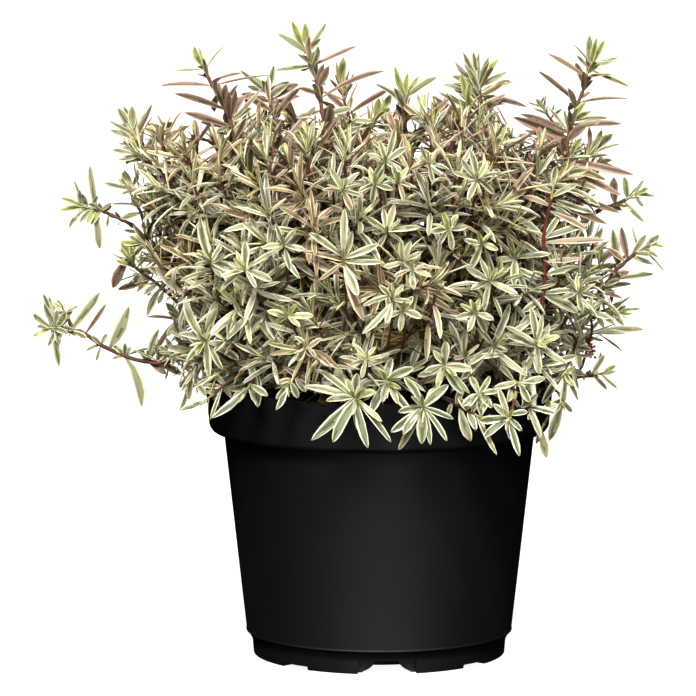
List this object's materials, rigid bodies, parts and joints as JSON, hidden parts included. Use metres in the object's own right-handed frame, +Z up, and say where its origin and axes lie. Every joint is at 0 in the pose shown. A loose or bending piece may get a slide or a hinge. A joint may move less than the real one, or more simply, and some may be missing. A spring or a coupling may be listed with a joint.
{
  "type": "hebe shrub",
  "caption": "Bushy variegated evergreen shrub in a black nursery pot: narrow cream-edged leaves on short woody boughs, with upright leafy spikes and loose side sprigs.",
  "frame": {"origin": "centre of the pot's flat underside, on the surface that it stands on", "axes": "+Z up along the pot's axis; the plant's best side faces -Y and +X is to the right of someone looking at that side"},
  "size_m": [0.3444, 0.2575, 0.348],
  "materials": {
    "pot": "satin injection-moulded polypropylene, black",
    "compost": "moist crumbly peat compost",
    "bark": "thin brown bark with leaf scars, reddish on young shoots",
    "foliage": "narrow leathery grey-green leaves with cream margins, some flushed pink"
  },
  "bodies": {
    "root": {"bough-high-1": "bark", "bough-high-2": "bark", "bough-high-3": "bark", "bough-high-4": "bark", "bough-high-5": "bark", "bough-high-6": "bark", "bough-mid-1": "bark", "bough-mid-2": "bark", "bough-sprig-left-high": "bark", "bough-sprig-left-low": "bark", "bough-sprig-right": "bark", "bough-sprig-right-low": "bark", "leaves-high-1": "foliage", "leaves-high-2": "foliage", "leaves-high-3": "foliage", "leaves-high-4": "foliage", "leaves-high-5": "foliage", "leaves-high-6": "foliage", "leaves-low-1": "foliage", "leaves-low-2": "foliage", "leaves-low-3": "foliage", "leaves-low-4": "foliage", "leaves-low-5": "foliage", "leaves-low-6": "foliage", "leaves-mid-1": "foliage", "leaves-mid-2": "foliage", "leaves-mid-3": "foliage", "leaves-mid-4": "foliage", "leaves-mid-5": "foliage", "leaves-mid-6": "foliage", "leaves-top-1": "foliage", "leaves-top-2": "foliage", "leaves-top-3": "foliage", "pot": "pot", "root_ball": "compost", "shoot-back-left": "foliage", "shoot-back-right": "foliage", "shoot-broad": "foliage", "shoot-left": "foliage", "shoot-left-back": "foliage", "shoot-left-corner": "foliage", "shoot-middle": "foliage", "shoot-right": "foliage", "shoot-slim": "foliage", "shoot-small": "foliage", "shoot-tallest": "foliage", "skirt-far-right": "foliage", "skirt-left": "foliage", "skirt-middle": "foliage", "skirt-right": "foliage", "sprig-left-high": "foliage", "sprig-left-low": "foliage", "sprig-left-tuft": "foliage", "sprig-right-high": "foliage", "sprig-right-low": "foliage", "sprig-right-mid": "foliage", "sprig-right-tuft": "foliage", "stem": "bark"}
  },
  "joints": []
}
